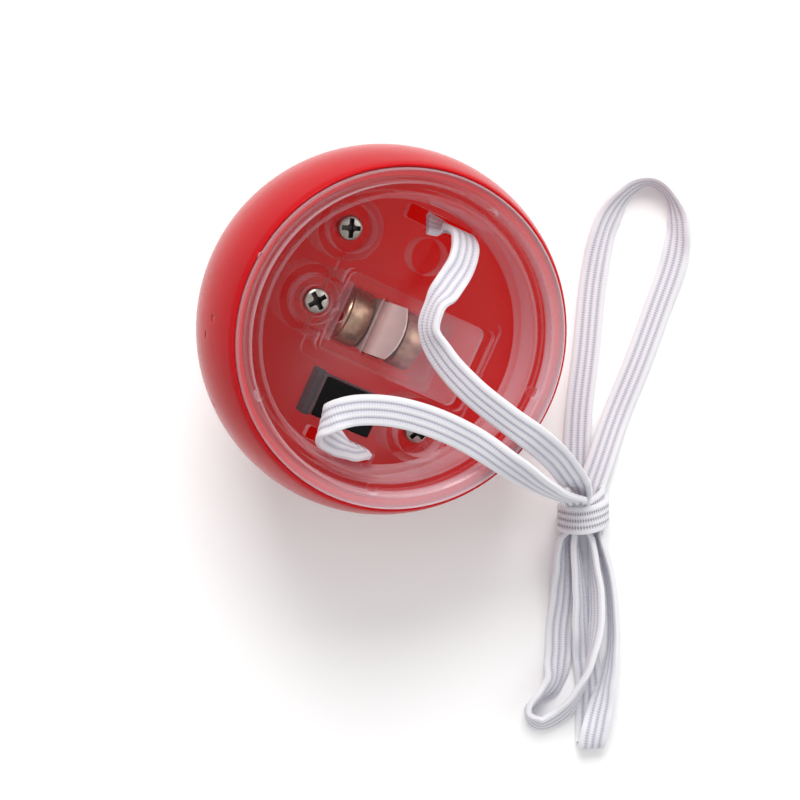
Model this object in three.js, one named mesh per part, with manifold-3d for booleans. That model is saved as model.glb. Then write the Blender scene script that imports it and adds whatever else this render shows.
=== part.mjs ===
// Light-up clown nose: a hollow vinyl ball with a clear screwed back and an elastic strap.
// Units are millimetres, +Z is up, and the origin is the point where the ball touches the table.
// The ball lies on its front, open side up, leaning towards the tied strap beside it.

import * as THREE from 'three';
import { mergeVertices } from 'three/addons/utils/BufferGeometryUtils.js';
import Module from 'manifold-3d';

const wasm = await Module();
wasm.setup();

// Ball and how it lies
const ball_diameter = 50;
const shell_wall = 1.6;
const ball_segments = 48;
const lean_deg = 20.6; // tilt of the open side from straight up
const lean_toward_deg = -30; // plan direction of that tilt, from +X
const spin_deg = -24; // turn of the back's layout about its own axis

// Back cup, with heights measured along its axis from the ball's centre
const clearance = 0.3;
const lip_top_height = 10.9;
const lip_width = 2.0;
const lip_bevel = 0.3;
const flange_top_height = 8.65;
const flange_width = 1.8;
const flange_thickness = 1.45;
const cup_wall = 1.2;
const well_floor_height = 3.0;
const well_draft = 0.6;
const floor_thickness = 1.5;
const well_bead_width = 0.7;
const well_bead_height = 0.25;
const cup_segments = 72;
const gate_nub_angle_deg = 174;
const ejector_mark_diameter = 1.5;
const ejector_mark_depth = 0.25;
const ejector_mark_angles_deg = [-136, -76, 2, 78];

// Button cells and the strip between them
const cell_diameter = 7.9;
const cell_thickness = 3.6;
const cell_rim_step = 0.55;
const tab_width = 7.4;
const tab_thickness = 0.25;
const tab_rise = 1.9;
const tab_reach = 3.2;
const tab_depth = 5.5;
const tab_end_radius = 7.2;

// Battery box in the back cup; the layout's x runs along the row of cells
const battery_centre_x = 2.9;
const recess_length = 23.0;
const recess_width = 12.1;
const recess_depth = 1.3;
const recess_corner = 1.1;
const contact_room_left = 0.9;
const contact_room_right = 2.2;
const box_wall = 1.2;
const cover_thickness = 1.0;
const cover_end_room = 1.6;
const cover_hole_diameter = 1.8;
const cover_hole_from_screw = 3.6;
const tab_centre_x = -1.9;

// Screws
const screw_head_diameter = 3.4;
const screw_head_height = 1.2;
const screw_shank_diameter = 1.7;
const screw_shank_length = 5.0;
const screw_cross_length = 2.2;
const screw_cross_width = 0.55;
const screw_cross_depth = 0.7;
const screw_circle_radius = 14.8;
const screw_circle_angle_deg = 134;
const counterbore_diameter = 6.6;
const counterbore_depth = 2.8;
const boss_wall = 1.2;
const boss_floor = 1.0;
const cover_screw_x = -10.8;
const cover_screw_well_diameter = 4.2;
const cover_tongue_radius = 3.3;
const cover_tongue_thickness = 2.2;

// Switch
const switch_centre_x = -0.6;
const switch_centre_y = -11.3;
const window_length = 8.5;
const window_width = 5.7;
const button_travel = 0.8;
const button_height = 2.9;
const button_sink = 0.2;
const button_overtravel = 0.6;
const housing_wall = 0.45;
const housing_bottom = 0.5;
const housing_ledge = 1.4;

// Strap and its slots
const strap_width = 4.0;
const strap_thickness = 1.0;
const slot_length = 10.4;
const slot_width = 2.3;
const slot_from_axis = 15.9;
const knot_length = 6.4;
const knot_width = 7.6;
const knot_height = 6.5;
const knot_corner = 2.2;
const knot_centre_x = 29.6;
const knot_centre_y = -26.2;
const knot_centre_z = 3.3;

// Route of the strap: points on its centre line, and where the flat side looks at each
const strap_route = {
  strap_run_a: [
    { at: [9.4, 13.3, 26.5], face: [0.39, 0.92, 0] },
    { at: [10.1, 13, 27.9], face: [0.43, 0.9, 0.06] },
    { at: [10.9, 12.4, 29.1], face: [0.54, 0.71, 0.44] },
    { at: [11.2, 10.8, 30.1], face: [0.47, 0.31, 0.82] },
    { at: [10.6, 8.4, 30.8], face: [0.41, 0.07, 0.91] },
    { at: [8.8, 5.4, 31.6], face: [0.03, 0.24, 0.97] },
    { at: [7, 2.7, 32.3], face: [-0.69, 0.38, 0.62] },
    { at: [6.3, -0.3, 32.3], face: [-0.79, -0.17, 0.59] },
    { at: [8.1, -3.9, 31.9], face: [-0.46, -0.38, 0.8] },
    { at: [11.7, -8, 31.8], face: [-0.29, -0.4, 0.87] },
    { at: [16.4, -11.8, 31], face: [-0.14, -0.48, 0.87] },
    { at: [20.3, -14.6, 29.6], face: [0.23, -0.56, 0.79] },
    { at: [23.6, -17.3, 25], face: [0.48, -0.67, 0.57] },
    { at: [26.1, -19.9, 18.5], face: [0.4, -0.82, 0.4] },
    { at: [27.6, -21.3, 12], face: [0.1, -0.95, 0.28] },
    { at: [28.5, -22.1, 8], face: [-0.32, -0.93, 0.18] },
  ],
  strap_run_b: [
    { at: [-3.6, -15.9, 25.2], face: [0.44, 0.89, 0.13] },
    { at: [-3.2, -16.3, 26.6], face: [0.42, 0.91, 0.08] },
    { at: [-3.3, -16.3, 28.2], face: [0.46, 0.88, 0.08] },
    { at: [-4.3, -16, 29.6], face: [0.67, 0.63, 0.38] },
    { at: [-6.2, -14.9, 31], face: [0.78, 0.16, 0.61] },
    { at: [-7.4, -13.8, 33], face: [0.88, -0.23, 0.41] },
    { at: [-7.5, -12.7, 35.1], face: [0.95, -0.28, -0.14] },
    { at: [-6.2, -11.7, 36.8], face: [0.46, -0.07, -0.88] },
    { at: [-3.6, -10.9, 37], face: [-0.21, 0.13, -0.97] },
    { at: [0.8, -10.9, 35.4], face: [-0.33, 0.18, -0.93] },
    { at: [5.9, -12.1, 33.4], face: [-0.25, 0.26, -0.93] },
    { at: [11.6, -14.6, 31.6], face: [-0.08, 0.4, -0.91] },
    { at: [17.4, -18.4, 29.8], face: [0.02, 0.66, -0.75] },
    { at: [21.2, -20.9, 25.8], face: [0.01, 0.93, -0.36] },
    { at: [24.1, -22.5, 19], face: [0.07, 0.98, -0.17] },
    { at: [26.2, -23.4, 13], face: [0.03, 0.99, -0.12] },
    { at: [27.3, -23.8, 9.6], face: [0, 0.99, -0.1] },
    { at: [27.8, -24.1, 7.3], face: [-0.03, 0.99, -0.1] },
  ],
  strap_loop_up: [
    { at: [29, -22.6, 1], face: [0, 0.07, 1] },
    { at: [28.9, -18.5, 0.7], face: [0, 0.04, 1] },
    { at: [29.2, -11.5, 0.6], face: [0, 0.01, 1] },
    { at: [30.3, -2.2, 0.6], face: [0, 0, 1] },
    { at: [31.5, 9, 0.6], face: [0, -0.03, 1] },
    { at: [33.2, 16.8, 1.2], face: [0.37, -0.23, 0.9] },
    { at: [36, 21.4, 1.9], face: [0.56, -0.64, 0.53] },
    { at: [39.6, 23.2, 2.15], face: [-0.06, -0.99, 0.14] },
    { at: [42.8, 21, 2.15], face: [-0.83, -0.54, 0.14] },
    { at: [44, 16.4, 1.7], face: [-0.74, -0.13, 0.66] },
    { at: [43.4, 11.5, 1], face: [-0.22, -0.03, 0.97] },
    { at: [41, 4.4, 0.6], face: [-0.01, -0.02, 1] },
    { at: [38, -3.8, 0.6], face: [0, 0.01, 1] },
    { at: [34.6, -12.2, 0.7], face: [0.03, 0.08, 1] },
    { at: [32.2, -18.8, 1.9], face: [0.06, 0.16, 0.99] },
    { at: [31, -22.1, 2.5], face: [0.06, 0.16, 0.99] },
  ],
  strap_loop_down_1: [
    { at: [26.9, -30, 2.1], face: [0.88, -0.06, 0.47] },
    { at: [26.9, -34, 1.6], face: [0.67, -0.1, 0.74] },
    { at: [26.9, -38.5, 1], face: [0.25, -0.1, 0.96] },
    { at: [26.4, -43.5, 0.7], face: [0, -0.02, 1] },
    { at: [26.1, -48, 0.8], face: [0.19, 0.08, 0.98] },
    { at: [25.2, -51.8, 1.6], face: [0.68, -0.22, 0.7] },
    { at: [23, -53.8, 2], face: [0.7, -0.63, 0.34] },
    { at: [21.5, -55.6, 2.1], face: [1, 0.05, 0] },
    { at: [23.2, -57.6, 2], face: [0.11, 0.86, -0.5] },
    { at: [26.4, -56.2, 2.1], face: [-0.45, 0.66, -0.61] },
    { at: [28.9, -52.6, 3.2], face: [-0.79, 0.5, -0.36] },
    { at: [30.6, -48, 4.3], face: [-0.97, 0.25, 0.03] },
    { at: [31.5, -42.6, 4.1], face: [-0.93, 0.13, 0.34] },
    { at: [31.6, -38.2, 3.4], face: [-0.94, 0.02, 0.34] },
    { at: [31.2, -33.6, 2.7], face: [-0.98, -0.07, 0.17] },
    { at: [30.8, -29.8, 2.4], face: [-0.99, -0.1, 0] },
  ],
  strap_loop_down_2: [
    { at: [28.6, -29.8, 2.2], face: [0.97, 0.07, 0.24] },
    { at: [28.9, -34, 2.2], face: [0.91, 0.08, 0.41] },
    { at: [29.4, -38.5, 2.1], face: [0.82, 0.04, 0.57] },
    { at: [29.7, -43.5, 1.8], face: [0.67, -0.03, 0.74] },
    { at: [30.3, -48.2, 0.9], face: [0.22, -0.1, 0.97] },
    { at: [30.8, -52.6, 0.6], face: [0, -0.03, 1] },
    { at: [30.8, -57.4, 0.6], face: [0, 0.05, 1] },
    { at: [30.8, -60.2, 1], face: [-0.01, 0.42, 0.91] },
    { at: [30.9, -60.9, 2.2], face: [-0.07, 0.89, -0.45] },
    { at: [31.2, -59.2, 2.9], face: [0.02, 0.07, -1] },
    { at: [32.2, -55.6, 2.6], face: [0.46, -0.2, -0.86] },
    { at: [33.4, -51, 2.2], face: [0.86, -0.21, -0.47] },
    { at: [34.2, -46.2, 2.15], face: [0.97, -0.08, -0.21] },
    { at: [34.2, -41, 2.15], face: [0.98, 0.05, -0.17] },
    { at: [33.6, -35.4, 2.15], face: [0.97, 0.17, -0.14] },
    { at: [32.2, -29.8, 2.15], face: [0.97, 0.24, -0.07] },
  ],
};

// Materials
const red_vinyl = new THREE.MeshStandardMaterial({ color: 0xc4202a, roughness: 0.22, metalness: 0 });
const clear_plastic = new THREE.MeshStandardMaterial({ color: 0xd98a94, roughness: 0.12, metalness: 0 });
const milky_plastic = new THREE.MeshStandardMaterial({ color: 0xd6b4b0, roughness: 0.35, metalness: 0 });
const black_plastic = new THREE.MeshStandardMaterial({ color: 0x121212, roughness: 0.4, metalness: 0 });
const steel = new THREE.MeshStandardMaterial({ color: 0xb9b7b0, roughness: 0.28, metalness: 1 });
const white_elastic = new THREE.MeshStandardMaterial({ color: 0xf0f0f4, roughness: 0.85, metalness: 0 });

// Sizes worked out from the ones above
const ball_radius = ball_diameter / 2;
const shell_inner_radius = ball_radius - shell_wall;
const rim_radius_at = (height, radius) => Math.sqrt(radius ** 2 - height ** 2);
const shell_edge_height = lip_top_height - 1.5;
const lip_base_height = shell_edge_height + clearance;
const lip_outer_radius = rim_radius_at(lip_top_height, ball_radius) - 0.1;
const lip_base_radius = rim_radius_at(lip_base_height, ball_radius) - 0.1;
const lip_inner_radius = lip_outer_radius - lip_width;
const skirt_radius = rim_radius_at(shell_edge_height, shell_inner_radius) - clearance;
const flange_bottom_height = flange_top_height - flange_thickness;
const well_top_radius = lip_inner_radius - flange_width;
const well_floor_radius = well_top_radius - well_draft;
const cup_outer_radius = well_top_radius + cup_wall;
const floor_underside = well_floor_height - floor_thickness;
const recess_bottom = well_floor_height - recess_depth;
const cover_left = battery_centre_x - recess_length / 2;
const cover_right = battery_centre_x + recess_length / 2;
const cell_slot_half = tab_thickness / 2 + clearance;
const cell_axis_height = recess_bottom - clearance - cell_diameter / 2;
const cell_starts_x = [
  tab_centre_x - cell_slot_half - cell_thickness,
  tab_centre_x + cell_slot_half,
  tab_centre_x + cell_slot_half + cell_thickness + clearance,
];
const cavity_left = cell_starts_x[0] - contact_room_left;
const cavity_right = cell_starts_x[2] + cell_thickness + contact_room_right;
const cavity_width = cell_diameter + 2 * clearance;
const cavity_bottom = cell_axis_height - cell_diameter / 2 - clearance;
const shank_hole_radius = screw_shank_diameter / 2 + clearance;
const counterbore_bottom = well_floor_height - counterbore_depth;
const tongue_top = well_floor_height;
const tongue_bottom = tongue_top - cover_tongue_thickness;
const button_top = well_floor_height - button_sink;
const button_bottom = button_top - button_height;
const housing_top = floor_underside - clearance;
const housing_pocket_bottom = button_bottom - button_travel - button_overtravel;

// Solids and meshes
function solidOf(geometry) {
  const bare = geometry.clone();
  bare.deleteAttribute('normal');
  bare.deleteAttribute('uv');
  const merged = mergeVertices(bare, 1e-4);
  return new wasm.Manifold(new wasm.Mesh({
    numProp: 3,
    vertProperties: new Float32Array(merged.attributes.position.array),
    triVerts: new Uint32Array(merged.index.array),
  }));
}

function geometryOf(solid) {
  const raw = solid.getMesh();
  const geometry = new THREE.BufferGeometry();
  geometry.setAttribute('position', new THREE.BufferAttribute(new Float32Array(raw.vertProperties), 3));
  geometry.setIndex(new THREE.BufferAttribute(new Uint32Array(raw.triVerts), 1));
  geometry.computeVertexNormals();
  return geometry;
}

function named(name, geometry, material) {
  const mesh = new THREE.Mesh(geometry, material);
  mesh.name = name;
  return mesh;
}

// Profiles are [radius, height] pairs turned about +Z.
function turned(profile, segments) {
  const points = profile.map(([radius, height]) => new THREE.Vector2(radius, height));
  return new THREE.LatheGeometry(points, segments).rotateX(Math.PI / 2);
}

function post(radius, low, high, x, y, segments = 28) {
  const geometry = new THREE.CylinderGeometry(radius, radius, high - low, segments).rotateX(Math.PI / 2);
  return geometry.translate(x, y, (low + high) / 2);
}

function block(length, width, low, high, x, y) {
  return new THREE.BoxGeometry(length, width, high - low).translate(x, y, (low + high) / 2);
}

function roundedOutline(length, width, corner) {
  const right = length / 2;
  const top = width / 2;
  const shape = new THREE.Shape();
  shape.absarc(right - corner, top - corner, corner, 0, Math.PI / 2);
  shape.absarc(-right + corner, top - corner, corner, Math.PI / 2, Math.PI);
  shape.absarc(-right + corner, -top + corner, corner, Math.PI, Math.PI * 1.5);
  shape.absarc(right - corner, -top + corner, corner, Math.PI * 1.5, Math.PI * 2);
  return shape;
}

function roundedBlock(length, width, corner, low, high, x, y) {
  const options = { depth: high - low, bevelEnabled: false, curveSegments: 4 };
  const geometry = new THREE.ExtrudeGeometry(roundedOutline(length, width, corner), options);
  return geometry.translate(x, y, low);
}

function onCircle(radius, angle_deg) {
  const angle = THREE.MathUtils.degToRad(angle_deg);
  return { x: radius * Math.cos(angle), y: radius * Math.sin(angle) };
}

const cup_screw_places = [screw_circle_angle_deg, screw_circle_angle_deg - 180]
  .map((angle) => onCircle(screw_circle_radius, angle));

// The ball: a sphere wall that ends in a flat edge under the lip
function noseShell() {
  const steps = ball_segments / 2;
  const arc = (radius) => {
    const end = Math.PI / 2 + Math.asin(shell_edge_height / radius);
    const count = Math.round(steps * end / Math.PI);
    return Array.from({ length: count + 1 }, (_, k) => {
      const angle = end * k / count;
      return [radius * Math.sin(angle), -radius * Math.cos(angle)];
    });
  };
  const profile = [...arc(ball_radius), ...arc(shell_inner_radius).reverse()];
  profile[0][0] = 0;
  profile[profile.length - 1][0] = 0;
  return turned(profile, ball_segments);
}

// The clear back: lip, flange and well in one turned body, with boxes and bosses under its floor
function backCup() {
  const bead_inner = well_top_radius;
  const bead_outer = well_top_radius + well_bead_width;
  let cup = solidOf(turned([
    [0, floor_underside],
    [cup_outer_radius, floor_underside],
    [cup_outer_radius, flange_bottom_height],
    [skirt_radius, flange_bottom_height],
    [skirt_radius, lip_base_height],
    [lip_base_radius, lip_base_height],
    [lip_outer_radius + lip_bevel / 2, lip_top_height - lip_bevel],
    [lip_outer_radius - lip_bevel, lip_top_height],
    [lip_inner_radius + lip_bevel, lip_top_height],
    [lip_inner_radius, lip_top_height - lip_bevel],
    [lip_inner_radius, flange_top_height],
    [bead_outer, flange_top_height],
    [bead_outer - well_bead_width / 4, flange_top_height + well_bead_height],
    [bead_inner + well_bead_width / 4, flange_top_height + well_bead_height],
    [bead_inner, flange_top_height],
    [well_floor_radius, well_floor_height],
    [0, well_floor_height],
  ], cup_segments));
  const add = (geometry) => { cup = cup.add(solidOf(geometry)); };
  const cut = (geometry) => { cup = cup.subtract(solidOf(geometry)); };

  // Battery box, the thicker floor round the cover's recess, and the bosses, all rooted in the floor
  const root = floor_underside + floor_thickness / 2;
  const box_length = cavity_right - cavity_left;
  const box_x = (cavity_right + cavity_left) / 2;
  add(block(recess_length + 2 * box_wall, recess_width + 2 * box_wall, recess_bottom - box_wall, root,
    battery_centre_x, 0));
  add(block(box_length + 2 * box_wall, cavity_width + 2 * box_wall, cavity_bottom - box_wall, root,
    box_x, 0));
  const boss_bottom = counterbore_bottom - screw_shank_length - boss_floor;
  for (const { x, y } of cup_screw_places) {
    add(post(counterbore_diameter / 2 + boss_wall, boss_bottom, root, x, y));
  }
  const cover_boss_bottom = tongue_bottom - screw_shank_length - boss_floor;
  add(post(cover_tongue_radius + clearance + boss_wall, cover_boss_bottom, root, cover_screw_x, 0));

  // Recess of the cover with its tongue, and the room for the cells
  cut(roundedBlock(recess_length, recess_width, recess_corner, recess_bottom, well_floor_height + 1,
    battery_centre_x, 0));
  const tongue_seat = tongue_bottom - clearance;
  const tongue_room = cover_tongue_radius + clearance;
  cut(post(tongue_room, tongue_seat, well_floor_height + 1, cover_screw_x, 0));
  cut(block(cover_left - cover_screw_x + 1, 2 * tongue_room, tongue_seat, well_floor_height + 1,
    (cover_left + cover_screw_x + 1) / 2, 0));
  cut(block(box_length, cavity_width, cavity_bottom, recess_bottom + 1, box_x, 0));
  cut(post(shank_hole_radius, tongue_bottom - screw_shank_length - clearance, tongue_bottom,
    cover_screw_x, 0, 16));

  // Deep screw wells, strap slots, switch window and moulding marks
  for (const { x, y } of cup_screw_places) {
    cut(post(counterbore_diameter / 2, counterbore_bottom, well_floor_height + 1, x, y));
    cut(post(shank_hole_radius, counterbore_bottom - screw_shank_length, counterbore_bottom + 1,
      x, y, 16));
  }
  for (const side of [1, -1]) {
    cut(block(slot_length, slot_width, floor_underside - 1, well_floor_height + 2,
      0, side * slot_from_axis));
  }
  cut(block(window_length, window_width, floor_underside - 1, well_floor_height + 1,
    switch_centre_x, switch_centre_y));
  const mark_circle = well_top_radius + well_bead_width + ejector_mark_diameter / 2 + clearance / 2;
  for (const angle of ejector_mark_angles_deg) {
    const { x, y } = onCircle(mark_circle, angle);
    cut(post(ejector_mark_diameter / 2, flange_top_height - ejector_mark_depth,
      flange_top_height + 1, x, y, 12));
  }
  const nub_at = onCircle(lip_outer_radius - lip_bevel, gate_nub_angle_deg);
  add(post(0.6, lip_top_height - 1.0, lip_top_height, nub_at.x, nub_at.y, 8));
  return geometryOf(cup);
}

function batteryCover() {
  const low = recess_bottom + clearance;
  const high = low + cover_thickness;
  const left = cover_left + clearance;
  const right = cover_right - cover_end_room;
  let cover = solidOf(roundedBlock(right - left, recess_width - 2 * clearance, recess_corner,
    low, high, (left + right) / 2, 0));
  cover = cover.add(solidOf(post(cover_tongue_radius, tongue_bottom, tongue_top, cover_screw_x, 0)));
  cover = cover.add(solidOf(block(left - cover_screw_x + 1, 2 * cover_tongue_radius, low, high,
    (left + cover_screw_x + 1) / 2, 0)));
  const seat = tongue_top - screw_head_height - clearance;
  cover = cover.subtract(solidOf(post(cover_screw_well_diameter / 2, seat, tongue_top + 1,
    cover_screw_x, 0)));
  cover = cover.subtract(solidOf(post(shank_hole_radius, tongue_bottom - 1, tongue_top,
    cover_screw_x, 0, 16)));
  cover = cover.subtract(solidOf(block(tab_thickness + 2 * clearance, tab_width + 2 * clearance,
    low - 1, high + 1, tab_centre_x, 0)));
  cover = cover.subtract(solidOf(post(cover_hole_diameter / 2, low - 1, high + 1,
    cover_screw_x + cover_hole_from_screw, 0, 16)));
  return geometryOf(cover);
}

// A cross-head screw whose head's underside is at height zero
function screw() {
  const head = screw_head_diameter / 2;
  const shank = screw_shank_diameter / 2;
  const dome = screw_head_height * 0.3;
  const tip = -screw_shank_length + clearance;
  let body = solidOf(turned([
    [0, tip],
    [shank * 0.4, tip],
    [shank, tip + shank],
    [shank, 0],
    [head, 0],
    [head, screw_head_height - dome],
    [head * 0.78, screw_head_height],
    [0, screw_head_height],
  ], 24));
  const low = screw_head_height - screw_cross_depth;
  for (const [length, width] of [[screw_cross_length, screw_cross_width],
    [screw_cross_width, screw_cross_length]]) {
    body = body.subtract(solidOf(block(length, width, low, screw_head_height + 1, 0, 0)));
  }
  return geometryOf(body);
}

// A button cell on edge: its narrower pole faces -X
function buttonCell() {
  const radius = cell_diameter / 2;
  const inset = radius - cell_rim_step;
  return turned([
    [0, 0],
    [inset, 0],
    [inset, cell_rim_step / 2],
    [radius, cell_rim_step],
    [radius, cell_thickness - 0.2],
    [radius - 0.2, cell_thickness],
    [0, cell_thickness],
  ], 28).rotateY(Math.PI / 2);
}

// The strip runs up between two cells, out of the slit, and curls over towards +X to a round end.
function pullTab() {
  const half = tab_thickness / 2;
  const bottom = recess_bottom - tab_depth;
  const bend_base = well_floor_height + 0.4;
  const centre_line = new THREE.CurvePath();
  const foot = new THREE.Vector2(0, bottom);
  const neck = new THREE.Vector2(0, bend_base);
  const knee = new THREE.Vector2(0, bend_base + tab_rise);
  const end = new THREE.Vector2(tab_reach, bend_base + tab_rise * 0.8);
  centre_line.add(new THREE.LineCurve(foot, neck));
  centre_line.add(new THREE.QuadraticBezierCurve(neck, knee, end));
  const line = [foot, ...centre_line.curves[1].getPoints(8)];
  const offset = (side) => line.map((point, k) => {
    const before = line[Math.max(k - 1, 0)];
    const after = line[Math.min(k + 1, line.length - 1)];
    const along = after.clone().sub(before).normalize();
    return new THREE.Vector2(point.x - side * half * along.y, point.y + side * half * along.x);
  });
  const shape = new THREE.Shape([...offset(1), ...offset(-1).reverse()]);
  const strip = new THREE.ExtrudeGeometry(shape, { depth: tab_width, bevelEnabled: false });
  strip.translate(0, 0, -tab_width / 2).rotateX(Math.PI / 2);
  const round_end = post(tab_end_radius, bottom - 1, knee.y + 1, tab_reach - tab_end_radius, 0, 64);
  return geometryOf(solidOf(strip).intersect(solidOf(round_end)));
}

// The housing reaches past the window on its -X side.
function switchBody() {
  const length = window_length + 2 * housing_wall + housing_ledge;
  const width = window_width + 2 * housing_wall;
  const bottom = housing_pocket_bottom - housing_bottom;
  const outer = solidOf(block(length, width, bottom, housing_top, switch_centre_x - housing_ledge / 2,
    switch_centre_y));
  return geometryOf(outer.subtract(solidOf(block(window_length, window_width, housing_pocket_bottom,
    housing_top + 1, switch_centre_x, switch_centre_y))));
}

function switchButton() {
  return block(window_length - 2 * clearance, window_width - 2 * clearance, button_bottom, button_top,
    switch_centre_x, switch_centre_y);
}

// Flat elastic: an eight-sided section carried along a smooth curve, rolled as the route says
const ribbon_section = [
  [1, 0.4], [0.82, 1], [-0.82, 1], [-1, 0.4], [-1, -0.4], [-0.82, -1], [0.82, -1], [1, -0.4],
];

function ribbon(route) {
  const points = route.map(({ at }) => new THREE.Vector3(...at));
  const curve = new THREE.CatmullRomCurve3(points, false, 'centripetal');
  const sides = ribbon_section.length;
  const steps = route.length - 1;
  const frames = route.map(({ face }, k) => {
    const along = curve.getTangent(k / steps);
    const across = new THREE.Vector3(...face).cross(along).normalize();
    const up = new THREE.Vector3().crossVectors(along, across);
    return { up, across };
  });
  const geometry = new THREE.CylinderGeometry(1, 1, 1, sides, steps);
  const spots = geometry.attributes.position;
  for (let k = 0; k < spots.count; k += 1) {
    const row = Math.round((spots.getY(k) + 0.5) * steps);
    const { up, across } = frames[row];
    const on_axis = Math.hypot(spots.getX(k), spots.getZ(k)) < 0.5;
    const turn = Math.atan2(spots.getX(k), spots.getZ(k)) / (2 * Math.PI) * sides;
    const [wide, thick] = on_axis ? [0, 0] : ribbon_section[(Math.round(turn) + sides) % sides];
    const place = points[row].clone().addScaledVector(up, thick * strap_thickness / 2);
    place.addScaledVector(across, wide * strap_width / 2);
    spots.setXYZ(k, place.x, place.y, place.z);
  }
  return geometry;
}

function strapKnot() {
  const options = { depth: knot_length, bevelEnabled: false, curveSegments: 4 };
  const geometry = new THREE.ExtrudeGeometry(roundedOutline(knot_width, knot_height, knot_corner), options);
  geometry.rotateX(Math.PI / 2);
  return geometry.translate(knot_centre_x, knot_centre_y + knot_length / 2, knot_centre_z);
}

// The leaning nose
const nose = new THREE.Group();
nose.position.set(0, 0, ball_radius);
const lean_toward = THREE.MathUtils.degToRad(lean_toward_deg);
const lean_axis = new THREE.Vector3(-Math.sin(lean_toward), Math.cos(lean_toward), 0);
nose.quaternion.setFromAxisAngle(lean_axis, THREE.MathUtils.degToRad(lean_deg));
const layout = new THREE.Group();
layout.rotation.z = THREE.MathUtils.degToRad(spin_deg);
nose.add(layout);

layout.add(named('nose_shell', noseShell(), red_vinyl));
layout.add(named('back_cup', backCup(), clear_plastic));
layout.add(named('battery_cover', batteryCover(), clear_plastic));
cell_starts_x.forEach((start, k) => {
  const cell = named(`button_cell_${k + 1}`, buttonCell(), steel);
  cell.position.set(start, 0, cell_axis_height);
  layout.add(cell);
});
const tab = named('pull_tab', pullTab(), milky_plastic);
tab.position.set(tab_centre_x, 0, 0);
layout.add(tab);
const screw_seats = [
  { name: 'screw_1', ...cup_screw_places[0], seat: counterbore_bottom + clearance },
  { name: 'screw_2', x: cover_screw_x, y: 0, seat: tongue_top - screw_head_height },
  { name: 'screw_3', ...cup_screw_places[1], seat: counterbore_bottom + clearance },
];
for (const { name, x, y, seat } of screw_seats) {
  const piece = named(name, screw(), steel);
  piece.position.set(x, y, seat);
  layout.add(piece);
}
layout.add(named('switch_body', switchBody(), black_plastic));
layout.add(named('switch_button', switchButton(), black_plastic));

// The strap lies beside the nose
const model = new THREE.Group();
model.add(nose);
for (const [name, route] of Object.entries(strap_route)) {
  model.add(named(name, ribbon(route), white_elastic));
}
model.add(named('strap_knot', strapKnot(), white_elastic));

export default model;
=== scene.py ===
import math

import bmesh
import bpy
from bpy.props import FloatProperty, FloatVectorProperty, PointerProperty
from mathutils import Matrix, Vector


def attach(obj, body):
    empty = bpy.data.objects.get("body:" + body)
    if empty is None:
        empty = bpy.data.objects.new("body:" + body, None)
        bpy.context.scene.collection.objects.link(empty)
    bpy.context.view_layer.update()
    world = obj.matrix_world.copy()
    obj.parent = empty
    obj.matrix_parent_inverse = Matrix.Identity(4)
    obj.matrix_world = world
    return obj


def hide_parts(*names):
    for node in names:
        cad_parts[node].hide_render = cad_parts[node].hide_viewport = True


bl_info = {
    "name": "Light-up clown nose",
    "version": (1, 0, 0),
    "blender": (4, 5, 0),
    "location": "3D View > Sidebar > Clown Nose",
    "description": "Builds a glossy clown nose with its clear screwed back and its elastic strap",
    "category": "Add Mesh",
}

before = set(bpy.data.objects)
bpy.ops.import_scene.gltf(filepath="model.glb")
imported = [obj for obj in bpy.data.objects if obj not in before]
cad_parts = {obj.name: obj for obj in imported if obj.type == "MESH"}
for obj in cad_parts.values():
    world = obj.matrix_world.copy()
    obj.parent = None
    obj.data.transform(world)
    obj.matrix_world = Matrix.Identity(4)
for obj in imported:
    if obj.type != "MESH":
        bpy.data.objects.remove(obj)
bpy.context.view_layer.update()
MM = 0.001

# The nose leans towards the strap, and its back has a layout of its own:
# x runs along the row of button cells, z out of the open side, from the ball's centre.
BALL_RADIUS = 25.0
LEAN, LEAN_TOWARD, ROW_TURN = math.radians(20.6), math.radians(-30), math.radians(-24)
LAYOUT = (
    Matrix.Translation((0, 0, BALL_RADIUS * MM))
    @ Matrix.Rotation(LEAN, 4, (-math.sin(LEAN_TOWARD), math.cos(LEAN_TOWARD), 0))
    @ Matrix.Rotation(ROW_TURN, 4, "Z")
)

# Sizes in mm in the back's layout, for the ball, the back and what sits in it
SHELL_EDGE = 9.4  # height of the open edge on the inside, under the lip
SHELL_SKIN = 10.1  # height of the skin outside the lip
LIP_TOP = 10.9
FLANGE_TOP = 8.65
FLOOR_TOP = 3.0
FLOOR_UNDER = 1.5
# RIM_RADII and BEAD_RADIUS place the thin rings painted as highlights along the lip's edges and the
# bead
RIM_RADII, BEAD_RADIUS = (22.3, 20.55), 18.95
BATTERY_X = 2.9
COVER_SCREW_X = -10.8
CUP_SCREW_RADIUS, CUP_SCREW_ANGLES = 14.8, (134, -46)
SWITCH_Y = -11.3
WINDOW_X = -0.8
SCREW_HOLE = 1.15
CELL_STARTS, CELL_HEIGHT = (-5.925, -1.475, 2.425), -2.55
TAB_X, TAB_HALF_WIDTH, TAB_THICKNESS = -1.9, 3.7, 0.25
TAB_SPANS = 16  # faces across the strip

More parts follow.
